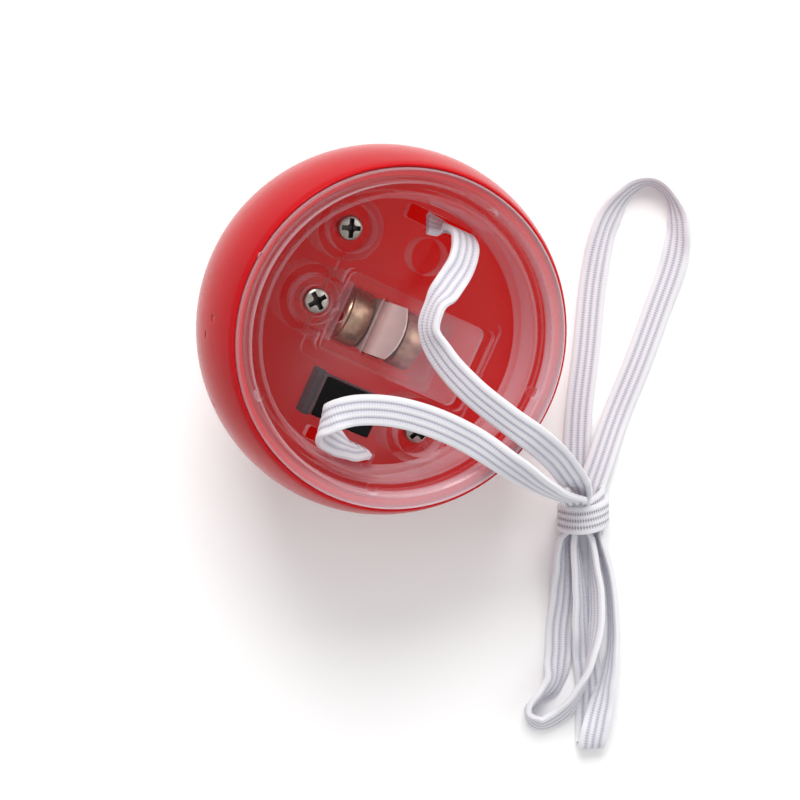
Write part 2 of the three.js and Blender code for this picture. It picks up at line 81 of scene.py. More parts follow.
# Places that the looks depend on, in metres
STRAP_SIDE = Vector((12, -14, 30)) * MM
# LIT_SPOT is where the painted glow inside the ball is brightest
LIT_SPOT = Vector((15, 5, 8)) * MM
FLOOR_SPOT = LAYOUT @ (Vector((-1, -9, FLOOR_TOP)) * MM)
COVER_SPOT = LAYOUT @ (Vector((10, 0, FLOOR_TOP)) * MM)
SWITCH_SPOT = LAYOUT @ (Vector((-0.6, SWITCH_Y, FLOOR_TOP)) * MM)
VINYL_PITS = tuple(Vector(place) * MM for place in (
    (-22.62, -1.08, 35.59), (-22.05, -10.03, 31.17), (-21.48, 1.02, 37.75)))
PIT_CENTRE, PIT_EDGE = 0.15 * MM, 0.60 * MM
RING_CORE, RING_EDGE = 0.08 * MM, 0.30 * MM
LIP_STARTS, LIP_RISES = (20.2 * MM, 20.5 * MM), (9.0 * MM, 9.5 * MM)
SHARP_ANGLE = math.radians(35)  # edges that bend more than this stay crisp or get a bevel
WHITE = (1, 1, 1, 1)

# How the ribbon is made
STRAP_STEP = 0.55 * MM  # distance between two rings of its mesh
RIBS, RIB_STEPS = 4, 8
RIB_CORE = 0.68  # share of the thickness that lies under the ribs
HELD = 0.60  # share of the thickness that is left inside the knot
WRAPPED = 0.85  # and in the turns round the knot
ROWS_A_TURN = 12.5

# Strap: centre points in metres, and where the flat side looks at each
STRAP_ROUTE = {
    "strap_run_a": [
        ((0.0094, 0.0133, 0.0265), (0.39, 0.92, 0)),
        ((0.0101, 0.013, 0.0279), (0.43, 0.9, 0.06)),
        ((0.0109, 0.0124, 0.0291), (0.54, 0.71, 0.44)),
        ((0.0112, 0.0108, 0.0301), (0.47, 0.31, 0.82)),
        ((0.0106, 0.0084, 0.0308), (0.41, 0.07, 0.91)),
        ((0.0088, 0.0054, 0.0316), (0.03, 0.24, 0.97)),
        ((0.007, 0.0027, 0.0323), (-0.69, 0.38, 0.62)),
        ((0.0063, -0.0003, 0.0323), (-0.79, -0.17, 0.59)),
        ((0.0081, -0.0039, 0.0319), (-0.46, -0.38, 0.8)),
        ((0.0117, -0.008, 0.0318), (-0.29, -0.4, 0.87)),
        ((0.0164, -0.0118, 0.031), (-0.14, -0.48, 0.87)),
        ((0.0203, -0.0146, 0.0296), (0.23, -0.56, 0.79)),
        ((0.0236, -0.0173, 0.025), (0.48, -0.67, 0.57)),
        ((0.0261, -0.0199, 0.0185), (0.4, -0.82, 0.4)),
        ((0.0276, -0.0213, 0.012), (0.1, -0.95, 0.28)),
        ((0.0285, -0.0221, 0.008), (-0.32, -0.93, 0.18)),
    ],
    "strap_run_b": [
        ((-0.0036, -0.0159, 0.0252), (0.44, 0.89, 0.13)),
        ((-0.0032, -0.0163, 0.0266), (0.42, 0.91, 0.08)),
        ((-0.0033, -0.0163, 0.0282), (0.46, 0.88, 0.08)),
        ((-0.0043, -0.016, 0.0296), (0.67, 0.63, 0.38)),
        ((-0.0062, -0.0149, 0.031), (0.78, 0.16, 0.61)),
        ((-0.0074, -0.0138, 0.033), (0.88, -0.23, 0.41)),
        ((-0.0075, -0.0127, 0.0351), (0.95, -0.28, -0.14)),
        ((-0.0062, -0.0117, 0.0368), (0.46, -0.07, -0.88)),
        ((-0.0036, -0.0109, 0.037), (-0.21, 0.13, -0.97)),
        ((0.0008, -0.0109, 0.0354), (-0.33, 0.18, -0.93)),
        ((0.0059, -0.0121, 0.0334), (-0.25, 0.26, -0.93)),
        ((0.0116, -0.0146, 0.0316), (-0.08, 0.4, -0.91)),
        ((0.0174, -0.0184, 0.0298), (0.02, 0.66, -0.75)),
        ((0.0212, -0.0209, 0.0258), (0.01, 0.93, -0.36)),
        ((0.0241, -0.0225, 0.019), (0.07, 0.98, -0.17)),
        ((0.0262, -0.0234, 0.013), (0.03, 0.99, -0.12)),
        ((0.0273, -0.0238, 0.0096), (0, 0.99, -0.1)),
        ((0.0278, -0.0241, 0.0073), (-0.03, 0.99, -0.1)),
    ],
    "strap_loop_up": [
        ((0.029, -0.0226, 0.001), (0, 0.07, 1)),
        ((0.0289, -0.0185, 0.0007), (0, 0.04, 1)),
        ((0.0292, -0.0115, 0.0006), (0, 0.01, 1)),
        ((0.0303, -0.0022, 0.0006), (0, 0, 1)),
        ((0.0315, 0.009, 0.0006), (0, -0.03, 1)),
        ((0.0332, 0.0168, 0.0012), (0.37, -0.23, 0.9)),
        ((0.036, 0.0214, 0.0019), (0.56, -0.64, 0.53)),
        ((0.0396, 0.0232, 0.00215), (-0.06, -0.99, 0.14)),
        ((0.0428, 0.021, 0.00215), (-0.83, -0.54, 0.14)),
        ((0.044, 0.0164, 0.0017), (-0.74, -0.13, 0.66)),
        ((0.0434, 0.0115, 0.001), (-0.22, -0.03, 0.97)),
        ((0.041, 0.0044, 0.0006), (-0.01, -0.02, 1)),
        ((0.038, -0.0038, 0.0006), (0, 0.01, 1)),
        ((0.0346, -0.0122, 0.0007), (0.03, 0.08, 1)),
        ((0.0322, -0.0188, 0.0019), (0.06, 0.16, 0.99)),
        ((0.031, -0.0221, 0.0025), (0.06, 0.16, 0.99)),
    ],
    "strap_loop_down_1": [
        ((0.0269, -0.03, 0.0021), (0.88, -0.06, 0.47)),
        ((0.0269, -0.034, 0.0016), (0.67, -0.1, 0.74)),
        ((0.0269, -0.0385, 0.001), (0.25, -0.1, 0.96)),
        ((0.0264, -0.0435, 0.0007), (0, -0.02, 1)),
        ((0.0261, -0.048, 0.0008), (0.19, 0.08, 0.98)),
        ((0.0252, -0.0518, 0.0016), (0.68, -0.22, 0.7)),
        ((0.023, -0.0538, 0.002), (0.7, -0.63, 0.34)),
        ((0.0215, -0.0556, 0.0021), (1, 0.05, 0)),
        ((0.0232, -0.0576, 0.002), (0.11, 0.86, -0.5)),
        ((0.0264, -0.0562, 0.0021), (-0.45, 0.66, -0.61)),
        ((0.0289, -0.0526, 0.0032), (-0.79, 0.5, -0.36)),
        ((0.0306, -0.048, 0.0043), (-0.97, 0.25, 0.03)),
        ((0.0315, -0.0426, 0.0041), (-0.93, 0.13, 0.34)),
        ((0.0316, -0.0382, 0.0034), (-0.94, 0.02, 0.34)),
        ((0.0312, -0.0336, 0.0027), (-0.98, -0.07, 0.17)),
        ((0.0308, -0.0298, 0.0024), (-0.99, -0.1, 0)),
    ],
    "strap_loop_down_2": [
        ((0.0286, -0.0298, 0.0022), (0.97, 0.07, 0.24)),
        ((0.0289, -0.034, 0.0022), (0.91, 0.08, 0.41)),
        ((0.0294, -0.0385, 0.0021), (0.82, 0.04, 0.57)),
        ((0.0297, -0.0435, 0.0018), (0.67, -0.03, 0.74)),
        ((0.0303, -0.0482, 0.0009), (0.22, -0.1, 0.97)),
        ((0.0308, -0.0526, 0.0006), (0, -0.03, 1)),
        ((0.0308, -0.0574, 0.0006), (0, 0.05, 1)),
        ((0.0308, -0.0602, 0.001), (-0.01, 0.42, 0.91)),
        ((0.0309, -0.0609, 0.0022), (-0.07, 0.89, -0.45)),
        ((0.0312, -0.0592, 0.0029), (0.02, 0.07, -1)),
        ((0.0322, -0.0556, 0.0026), (0.46, -0.2, -0.86)),
        ((0.0334, -0.051, 0.0022), (0.86, -0.21, -0.47)),
        ((0.0342, -0.0462, 0.00215), (0.97, -0.08, -0.21)),
        ((0.0342, -0.041, 0.00215), (0.98, 0.05, -0.17)),
        ((0.0336, -0.0354, 0.00215), (0.97, 0.17, -0.14)),
        ((0.0322, -0.0298, 0.00215), (0.97, 0.24, -0.07)),
    ],
}


class NoseSizes(bpy.types.PropertyGroup):
    """Sizes of the nose, its back and its strap"""

    shell_wall: FloatProperty(
        name="Shell wall", description="Thickness of the ball's soft wall",
        default=1.6 * MM, min=0.5 * MM, unit="LENGTH")
    edge_softness: FloatProperty(
        name="Edge softness", description="Radius of the moulded plastic edges",
        default=0.22 * MM, min=0.02 * MM, unit="LENGTH")
    strap_width: FloatProperty(
        name="Strap width", description="Width of the flat elastic",
        default=4.0 * MM, min=1 * MM, unit="LENGTH")
    strap_thickness: FloatProperty(
        name="Strap thickness", description="Thickness of the elastic over its ribs",
        default=1.0 * MM, min=0.2 * MM, unit="LENGTH")
    knit_pitch: FloatProperty(
        name="Knit pitch", description="Distance between two rows of the knit",
        default=0.36 * MM, min=0.1 * MM, unit="LENGTH")


class NoseColours(bpy.types.PropertyGroup):
    """Colours of the nose and of the table"""

    vinyl: FloatVectorProperty(
        name="Vinyl", description="Colour of the red ball", subtype="COLOR", size=4,
        default=(0.42, 0.006, 0.010, 1), min=0, max=1)
    # Colour of the painted glow inside the ball: emission that stands in for light shining through
    # its wall
    glow: FloatVectorProperty(
        name="Inner glow", description="Light that shines through the ball to its inside",
        subtype="COLOR", size=4, default=(0.19, 0.002, 0.001, 1), min=0, max=1)
    # Milky colour of the clear plastic where its alpha rises: partly its own milkiness, partly
    # painted highlights and reflections
    plastic: FloatVectorProperty(
        name="Clear plastic", description="Tint of the clear back and battery cover",
        subtype="COLOR", size=4, default=(0.82, 0.66, 0.72, 1), min=0, max=1)
    film: FloatVectorProperty(
        name="Pull tab", description="Colour of the milky strip", subtype="COLOR", size=4,
        default=(0.50, 0.34, 0.33, 1), min=0, max=1)
    steel: FloatVectorProperty(
        name="Steel", description="Colour of the screws", subtype="COLOR", size=4,
        default=(0.44, 0.40, 0.36, 1), min=0, max=1)
    cell: FloatVectorProperty(
        name="Button cells", description="Colour of the button cells", subtype="COLOR", size=4,
        default=(0.42, 0.27, 0.19, 1), min=0, max=1)
    switch: FloatVectorProperty(
        name="Switch", description="Colour of the switch", subtype="COLOR", size=4,
        default=(0.010, 0.010, 0.011, 1), min=0, max=1)
    elastic: FloatVectorProperty(
        name="Elastic", description="Colour of the strap's ribs", subtype="COLOR", size=4,
        default=(0.68, 0.68, 0.705, 1), min=0, max=1)
    # Painted shade: the darker, bluer colour laid in the grooves between the ribs stands for the
    # shade there
    groove: FloatVectorProperty(
        name="Elastic grooves", description="Colour between the strap's ribs",
        subtype="COLOR", size=4, default=(0.38, 0.37, 0.45, 1), min=0, max=1)
    table: FloatVectorProperty(
        name="Table", description="Colour of the table", subtype="COLOR", size=4,
        default=(0.95, 0.95, 0.95, 1), min=0, max=1)


# Shader maths
class Signal:
    """A shader socket that can be added, scaled and compared like a number."""

    def __init__(self, finish, socket):
        self.finish = finish
        self.socket = socket

    def math(self, operation, *others):
        """A Math node on this value and the others."""
        inputs = dict(enumerate((self, *others)))
        return self.finish.node("ShaderNodeMath", {"operation": operation}, inputs)

    def __add__(self, other):
        return self.math("ADD", other)

    __radd__ = __add__

    def __mul__(self, other):
        return self.math("MULTIPLY", other)

    __rmul__ = __mul__

    def __sub__(self, other):
        return self.math("SUBTRACT", other)

    def __rsub__(self, other):
        return (self * -1.0) + other

    def __pow__(self, other):
        return self.math("POWER", other)

    def clamped(self):
        """This value held between 0 and 1."""
        return self.finish.node("ShaderNodeClamp", {}, {"Value": self})

    def ramp(self, low, high):
        """0 below low, 1 above high, and smooth between them."""
        settings = {"interpolation_type": "SMOOTHSTEP"}
        return self.finish.node("ShaderNodeMapRange", settings,
                                {"Value": self, "From Min": low, "From Max": high})


class Finish:
    """A material, with its shader's own sockets set from keywords."""

    def __init__(self, name, **shader):
        self.material = bpy.data.materials.new(name)
        self.material.use_nodes = True
        self.tree = self.material.node_tree
        self.shader = self.tree.nodes["Principled BSDF"]
        self.feed(**shader)

    def feed(self, **values):
        """Sets or links the shader's sockets; an underscore stands for a space."""
        for key, value in values.items():
            socket = self.shader.inputs[key.replace("_", " ")]
            if isinstance(value, Signal):
                self.tree.links.new(value.socket, socket)
            else:
                socket.default_value = value

    def node(self, kind, settings=None, inputs=None, output=0):
        """Adds a node, sets it up, and returns one of its outputs."""
        made = self.tree.nodes.new(kind)
        for key, value in (settings or {}).items():
            setattr(made, key, value)
        for key, value in (inputs or {}).items():
            if isinstance(value, Signal):
                self.tree.links.new(value.socket, made.inputs[key])
            else:
                made.inputs[key].default_value = value
        return Signal(self, made.outputs[output])

    def place(self):
        """The point on the surface, in metres, in the model's own frame."""
        return self.node("ShaderNodeTexCoord", output=3)

    def distance(self, spot):
        """How far the surface is from a spot."""
        return self.node("ShaderNodeVectorMath", {"operation": "DISTANCE"},
                         {0: self.place(), 1: spot}, output=1)

    def from_axis(self):
        """How far the surface is from the back's axis, and how far along it from the centre."""
        axis = LAYOUT.to_3x3() @ Vector((0, 0, 1))
        arm = self.node("ShaderNodeVectorMath", {"operation": "SUBTRACT"},
                        {0: self.place(), 1: LAYOUT.translation})
        height = self.node("ShaderNodeVectorMath", {"operation": "DOT_PRODUCT"},
                           {0: arm, 1: axis}, output=1)
        across = self.node("ShaderNodeVectorMath", {"operation": "CROSS_PRODUCT"},
                           {0: arm, 1: axis})
        radius = self.node("ShaderNodeVectorMath", {"operation": "LENGTH"}, {0: across}, output=1)
        return radius, height

    def along_axis(self):
        """0 on the back's upright walls, 1 on its level faces."""
        axis = LAYOUT.to_3x3() @ Vector((0, 0, 1))
        normal = self.node("ShaderNodeNewGeometry", output=1)
        turned_to = self.node("ShaderNodeVectorMath", {"operation": "DOT_PRODUCT"},
                              {0: normal, 1: axis}, output=1)
        return turned_to.math("ABSOLUTE")

    def ring(self, radius, middle):
        """1 on a thin ring round the back's axis, and 0 away from it."""
        return 1 - (radius - middle * MM).math("ABSOLUTE").ramp(RING_CORE, RING_EDGE)

    def attribute(self, name):
        """A number stored on the mesh."""
        return self.node("ShaderNodeAttribute", {"attribute_name": name}, output=2)

    def grain(self, size, detail=2.0):
        """Noise from 0 to 1 whose lumps are about size metres across."""
        return self.node("ShaderNodeTexNoise", {},
                         {"Vector": self.place(), "Scale": 1 / size, "Detail": detail})

    def mix(self, factor, first, second):
        """A colour between two colours."""
        return self.node("ShaderNodeMix", {"data_type": "RGBA"},
                         {0: factor, 6: first, 7: second}, output=2)

    def bumped(self, height, depth):
        """The surface normal tilted by a height that swings by depth metres."""
        return self.node("ShaderNodeBump", {}, {"Height": height, "Distance": depth})

    def edge_on(self):
        """0 where the surface is seen square on, 1 where it is seen edge on."""
        return self.node("ShaderNodeLayerWeight", {}, {"Blend": 0.5}, output=1)

    def glossed(self, factor, roughness):
        """Lays a clear gloss over the shader, as strong as the factor."""
        gloss = self.node("ShaderNodeBsdfPrincipled", {},
                          {"Metallic": 1.0, "Base Color": WHITE, "Roughness": roughness})
        under = Signal(self, self.shader.outputs[0])
        both = self.node("ShaderNodeMixShader", {}, {0: factor, 1: under, 2: gloss})
        surface = self.tree.nodes["Material Output"].inputs["Surface"]
        self.tree.links.new(both.socket, surface)


def tinted(colour, amount):
    """A darker or lighter version of a colour."""
    return (*(min(1.0, part * amount) for part in colour[:3]), 1)


def vinyl_finish(colours, wall):
    """Glossy soft vinyl with an orange-peel skin, a few small pits, and a painted glow on its
    inside that stands in for light shining through the wall
    """
    made = Finish("red_vinyl", Roughness=0.22, Specular_IOR_Level=0.085, Emission_Strength=1.0,
                  Subsurface_Weight=0.7, Subsurface_Scale=wall, Subsurface_Radius=(1.0, 0.08, 0.06))
    cloud = made.grain(9 * MM)
    colour = made.mix(cloud, tinted(colours.vinyl, 0.90), tinted(colours.vinyl, 1.08))
    skin = made.grain(0.9 * MM, 3.0)
    pits = None
    for spot in VINYL_PITS:
        pit = made.distance(spot).ramp(PIT_CENTRE, PIT_EDGE)
        pits = pit if pits is None else pits * pit
    # Painted light: the inside of the wall glows, brighter towards LIT_SPOT, in place of light
    # shining through the vinyl
    within = 1 - made.distance(LAYOUT.translation).ramp(23.8 * MM, 24.4 * MM)
    lit_side = 1 - made.distance(LIT_SPOT).ramp(8 * MM, 30 * MM)
    inner = made.mix(lit_side, tinted(colours.glow, 0.85), tinted(colours.glow, 1.55))
    glow = made.mix(within, (0, 0, 0, 1), inner)
    made.feed(Base_Color=colour, Emission_Color=glow,
              Normal=made.bumped(skin * 0.03 + pits, 0.35 * MM))
    return made.material


def clear_finish(colours, name, milky_spot, milk):
    """Clear moulded plastic, a little milky in drifts, in a patch and at its lip, more so on the
    strap's side; its milky colour is also painted as highlights and reflections where it is seen
    edge on, on its upright walls, and in thin rings along the lip's edges and the bead
    """
    made = Finish(name, Base_Color=colours.plastic, Roughness=0.25)
    edge_on = made.edge_on()
    radius, height = made.from_axis()
    lip = radius.ramp(*LIP_STARTS) * height.ramp(*LIP_RISES)
    flow = made.grain(6 * MM)
    fine = made.grain(1.1 * MM)
    patch = 1 - made.distance(milky_spot).ramp(4 * MM, 12 * MM)
    calm = made.distance(SWITCH_SPOT).ramp(5.2 * MM, 6.5 * MM) * 0.75 + 0.25
    # Painted highlights: thin milky rings along the lip's two edges and along the bead, where those
    # edges catch the light
    painted_lip_edge_highlights = made.ring(radius, RIM_RADII[0]) + made.ring(radius, RIM_RADII[1])
    painted_bead_highlight = made.ring(radius, BEAD_RADIUS)
    near_strap = 1 - made.distance(STRAP_SIDE).ramp(10 * MM, 34 * MM)
    # Upright walls and faces seen edge on get the milky colour as painted highlights and
    # reflections; the drifts and the patch make the plastic a little milky, and the lip grows
    # milkier towards the strap's side
    upright = 1 - made.along_axis().ramp(0.15, 0.60)
    milk_and_painted_highlights = ((edge_on ** 2.2 * 0.36 + upright * 0.20) * calm + flow * 0.012 + patch * milk
            + lip * (near_strap * 0.18 + 0.03) + painted_lip_edge_highlights * 0.11 + painted_bead_highlight * 0.10)
    made.feed(Alpha=milk_and_painted_highlights.clamped(), Normal=made.bumped(flow * 0.8 + fine * 0.2, 0.10 * MM))
    made.glossed((0.012 + edge_on ** 5.0 * 0.5).clamped(), 0.10)
    return made.material


def film_finish(colours):
    """Milky plastic film, a little cloudy, with a painted highlight along its free end"""
    made = Finish("milky_film", Roughness=0.28, Specular_IOR_Level=0.5)
    cloud = made.grain(2.2 * MM)
    colour = made.mix(cloud, tinted(colours.film, 0.92), tinted(colours.film, 1.06))
    # Painted highlight: a light line along the strip's free end
    painted_edge_highlight = made.attribute("painted_edge_highlight").ramp(0.3, 0.9)
    colour = made.mix(painted_edge_highlight, colour, (0.86, 0.78, 0.78, 1))
    made.feed(Base_Color=colour, Alpha=cloud * 0.10 + 0.72,
              Normal=made.bumped(made.grain(0.7 * MM), 0.02 * MM))
    return made.material


def steel_finish(colour, name, darkening):
    """Plated steel with fine turning marks and dull patches, painted near black inside a screw's
    cross recess as shade
    """
    made = Finish(name, Metallic=1.0)
    patches = made.grain(1.6 * MM, 3.0)
    marks = made.grain(0.22 * MM)
    base = made.mix(patches.ramp(0.35, 0.70), tinted(colour, darkening),
                    tinted(colour, darkening * 1.6))
    # Painted shade: faces marked inside the screw's cross recess turn near black
    base = made.mix(made.attribute("painted_recess_shade") * 0.9, base, (0.02, 0.018, 0.018, 1))
    made.feed(Base_Color=base, Roughness=patches * 0.22 + 0.20,
              Normal=made.bumped(marks * 0.7 + patches * 0.3, 0.03 * MM))
    return made.material


def switch_finish(colours, name, lightness):
    """Black moulded plastic with a fine matt skin"""
    made = Finish(name, Specular_IOR_Level=0.12)
    skin = made.grain(0.25 * MM, 3.0)
    wear = made.grain(3 * MM)
    colour = made.mix(wear, tinted(colours.switch, 0.6 * lightness),
                      tinted(colours.switch, 1.2 * lightness))
    made.feed(Base_Color=colour, Roughness=wear * 0.15 + 0.38,
              Normal=made.bumped(skin, 0.03 * MM))
    return made.material


def elastic_finish(colours, sizes):
    """Braided elastic: bright ribs, grooves painted grey as shade, rows of knit that show in them
    as darker dots, and a faint painted glow that lifts its shade
    """
    # Painted light: the faint lilac emission brightens the elastic where it lies in shade
    made = Finish("white_elastic", Roughness=0.85, Specular_IOR_Level=0.2,
                  Sheen_Weight=0.25, Sheen_Roughness=0.5,
                  Emission_Color=(0.045, 0.043, 0.052, 1), Emission_Strength=1.0)
    groove = made.attribute("groove")
    along = made.attribute("along")
    pulled = made.attribute("pulled")
    rows = (along * (2 * math.pi / sizes.knit_pitch)).math("SINE") * 0.5 + 0.5
    fuzz = made.grain(0.30 * MM, 3.0)
    # Painted shade: the grooves take the darker, bluer groove colour, broken into dots along the
    # knit rows, with more contrast and darker still where the elastic is pulled tight
    dots = (rows * 1.3 - 0.25).clamped()
    contrast = pulled * 0.35 + 0.35
    shade = (groove * (dots * contrast + (1.0 - contrast)) + (fuzz - 0.5) * 0.12).clamped()
    painted_groove_shade = made.mix(pulled, colours.groove, tinted(colours.groove, 0.30))
    made.feed(Base_Color=made.mix(shade, colours.elastic, painted_groove_shade),
              Normal=made.bumped(rows * (groove * 0.9 + 0.10) + fuzz * 0.35, 0.06 * MM))
    return made.material


def table_finish(colours):
    """A plain pale table"""
    made = Finish("table", Roughness=0.75, Specular_IOR_Level=0.2)
    grain = made.grain(25 * MM)
    made.feed(Base_Color=made.mix(grain, tinted(colours.table, 0.995), colours.table))
    return made.material


# Mesh making, with sizes in mm in the back's own layout
def turned(profile, segments=144):
    """A solid turned from (radius, height) pairs that start and end on the axis, or that close."""
    made = bmesh.new()
    rings = []
    for radius, height in profile:
        count = segments if radius > 1e-6 else 1
        turns = [2 * math.pi * k / segments for k in range(count)]
        rings.append([
            made.verts.new((radius * math.cos(t) * MM, radius * math.sin(t) * MM, height * MM))
            for t in turns
        ])
    for ring, above in zip(rings, rings[1:] + rings[:1]):
        for k in range(segments):
            corners = [ring[k % len(ring)], ring[(k + 1) % len(ring)],
                       above[(k + 1) % len(above)], above[k % len(above)]]
            corners = list(dict.fromkeys(corners))
            if len(corners) > 2:
                made.faces.new(corners)
    return closed(made)


def join(made, rings):
    """Faces from each ring of vertices to the next, with both ends closed."""
    for ring, following in zip(rings, rings[1:]):
        for k in range(len(ring)):
            nxt = (k + 1) % len(ring)
            made.faces.new((ring[k], ring[nxt], following[nxt], following[k]))
    made.faces.new(rings[0])
    made.faces.new(rings[-1])


def closed(made):
    """The mesh of a bmesh, with its faces turned outwards."""
    bmesh.ops.remove_doubles(made, verts=made.verts, dist=0.0005 * MM)
    bmesh.ops.recalc_face_normals(made, faces=made.faces)
    mesh = bpy.data.meshes.new("shape")
    made.to_mesh(mesh)
    made.free()
    return mesh


def prism(outline, low, high):
    """A solid with an (x, y) outline between two heights."""
    made = bmesh.new()
    floor = [made.verts.new((x * MM, y * MM, low * MM)) for x, y in outline]
    roof = [made.verts.new((x * MM, y * MM, high * MM)) for x, y in outline]
    made.faces.new(floor)
    made.faces.new(roof)
    for k in range(len(outline)):
        nxt = (k + 1) % len(outline)
        made.faces.new((floor[k], floor[nxt], roof[nxt], roof[k]))
    return closed(made)


def circle(radius, x=0, y=0, segments=48):
    """The outline of a disc."""
    turns = [2 * math.pi * k / segments for k in range(segments)]
    return [(x + radius * math.cos(t), y + radius * math.sin(t)) for t in turns]


def rectangle(length, width, x=0, y=0, corner=0.0):
    """The outline of a rectangle, with round corners if asked."""
    steps = 6 if corner else 0
    points = []
    for sign_x, sign_y, start in ((1, 1, 0), (-1, 1, 90), (-1, -1, 180), (1, -1, 270)):
        centre_x = x + sign_x * (length / 2 - corner)
        centre_y = y + sign_y * (width / 2 - corner)
        for k in range(steps + 1):
            turn = math.radians(start + 90 * k / max(steps, 1))
            points.append((centre_x + corner * math.cos(turn), centre_y + corner * math.sin(turn)))
    return points


def polar(radius, degrees):
    """A point at a radius and an angle in the layout's plane."""
    turn = math.radians(degrees)
    return radius * math.cos(turn), radius * math.sin(turn)


def carved(mesh, *steps):
    """A mesh after (operation, tool mesh) steps in order."""
    body = bpy.data.objects.new("carving", mesh)
    bpy.context.collection.objects.link(body)
    tools = []
    for operation, tool_mesh in steps:
        tool = bpy.data.objects.new("tool", tool_mesh)
        bpy.context.collection.objects.link(tool)
        step = body.modifiers.new(operation, "BOOLEAN")
        step.operation = operation
        step.solver = "EXACT"
        step.object = tool
        tools.append(tool)
    graph = bpy.context.evaluated_depsgraph_get()
    graph.update()
    made = bpy.data.meshes.new_from_object(body.evaluated_get(graph))
    for helper in (body, *tools):
        bpy.data.objects.remove(helper)
    if not made.polygons:
        raise RuntimeError("carving left nothing")
    clean = bmesh.new()
    clean.from_mesh(made)
    bmesh.ops.dissolve_limit(clean, angle_limit=math.radians(0.5), verts=clean.verts,
                             edges=clean.edges)
    return closed(clean)


def piece(name, mesh, material, body, slot, *nodes, softness=0.0, where=LAYOUT):
    """A finished piece that rides on a body and stands for CAD nodes."""
    mesh.name = name
    mesh.transform(where)
    mesh.materials.clear()
    mesh.materials.append(material)
    mesh.shade_smooth()
    made = bpy.data.objects.new(name, mesh)
    bpy.context.collection.objects.link(made)
    if softness:
        bevel = made.modifiers.new("edges", "BEVEL")
        bevel.width = softness
        bevel.segments = 2
        bevel.limit_method = "ANGLE"
        bevel.angle_limit = SHARP_ANGLE
        bevel.use_clamp_overlap = True
        bevel.harden_normals = True
    else:
        mesh.set_sharp_from_angle(angle=SHARP_ANGLE)
    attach(made, body)
    if nodes:
        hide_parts(*nodes)
    return made


# The strap
def strap_rows():
    """(point, face, squeeze) rows in metres along the whole elastic, from slot A to slot B."""
    def point(x, y, z):
        return Vector((x, y, z)) * MM

    def inside(*places):
        return [(point(*place), None, HELD) for place in places]

    def run(name, backwards=False):
        rows = [(Vector(at), Vector(face), 1.0) for at, face in STRAP_ROUTE[name]]
        return rows[::-1] if backwards else rows

    def under(x, y, w, facing):
        """A row below the floor of the back, in its layout."""
        return (LAYOUT @ (Vector((x, y, w)) * MM), LAYOUT.to_3x3() @ Vector(facing), 1.0)

    rows = [under(-0.6, 15.7, 0.9, (0, 0.75, 0.66)), under(1.2, 15.8, 1.0, (0, 0.85, 0.52))]
    rows += run("strap_run_a")
    rows += inside((29.2, -23.9, 5.8), (28.7, -26.4, 3.8), (27.9, -28.4, 2.9))
    rows += run("strap_loop_down_1")
    rows += inside((30.3, -28.2, 2.7), (29.7, -26.2, 2.3), (29.2, -24.2, 1.7))
    rows += run("strap_loop_up")
    rows += inside((30.5, -24.2, 3.0), (29.8, -26.2, 3.2), (29.1, -28.2, 2.7))
    rows += run("strap_loop_down_2")
    rows += inside((31.9, -28.5, 1.6), (31.0, -27.6, 0.85))
    rows += wrap_rows()
    rows += inside((28.4, -24.9, 2.4), (28.1, -24.9, 4.8))
    rows += run("strap_run_b", backwards=True)
    rows.append(under(2.9, -16.0, -0.4, (0, 1, 0)))
    return rows


def wrap_rows():
    """Two turns round the bundle: a wide one in front and a tighter one behind it."""
    rows = []
    for k in range(int(2 * ROWS_A_TURN) + 1):
        turn = k / ROWS_A_TURN
        angle = 2 * math.pi * turn
        inner = smooth(turn, 0.85, 1.15)
        half_x = 3.45 - 0.62 * inner
        half_z = 2.80 - 0.66 * inner
        y = -26.8 - 0.45 * smooth(turn, 0.25, 0.45) + 1.8 * smooth(turn, 0.45, 0.85)
        y += 2.4 * smooth(turn, 1.45, 1.8) - 1.1 * smooth(turn, 1.0, 1.4)
        centre = Vector((29.6, y, 3.3)) * MM
        away = Vector((-math.sin(angle) * half_x, 0, -math.cos(angle) * half_z)) * MM
        facing = Vector((-math.sin(angle) / half_x, 0, -math.cos(angle) / half_z)).normalized()
        rows.append((centre + away, facing, WRAPPED))
    return rows


def smooth(value, low, high):
    """0 below low, 1 above high, and smooth between them."""
    part = min(1.0, max(0.0, (value - low) / (high - low)))
    return part * part * (3 - 2 * part)


def followed(rows, step):
    """A smooth line through the rows: (point, direction, face, squeeze) about every step metres."""
    points = [row[0] for row in rows]
    points = [2 * points[0] - points[1]] + points + [2 * points[-1] - points[-2]]
    faces = filled_faces(rows)
    line = []
    for k in range(1, len(points) - 2):
        p0, p1, p2, p3 = points[k - 1:k + 3]
        count = max(1, round((p2 - p1).length / step))
        knots = [0.0]
        for a, b in ((p0, p1), (p1, p2), (p2, p3)):
            knots.append(knots[-1] + max((b - a).length, 1e-6) ** 0.5)
        last = k == len(points) - 3
        for j in range(count + (1 if last else 0)):
            share = j / count
            spot = on_curve((p0, p1, p2, p3), knots, share)
            face = faces[k - 1].lerp(faces[k], smooth(share, 0, 1))
            squeeze = rows[k - 1][2] + (rows[k][2] - rows[k - 1][2]) * share
            line.append([spot, None, face, squeeze])
    for k, place in enumerate(line):
        before, after = line[max(k - 1, 0)][0], line[min(k + 1, len(line) - 1)][0]
        place[1] = (after - before).normalized()
    return line


def on_curve(points, knots, share):
    """A point on a centripetal curve between the second and third of four points."""
    t = knots[1] + (knots[2] - knots[1]) * share

    def between(a, b, low, high):
        return a.lerp(b, (t - low) / (high - low))

    first = [between(points[i], points[i + 1], knots[i], knots[i + 1]) for i in range(3)]
    second = [between(first[i], first[i + 1], knots[i], knots[i + 2]) for i in range(2)]
    return between(second[0], second[1], knots[1], knots[2])


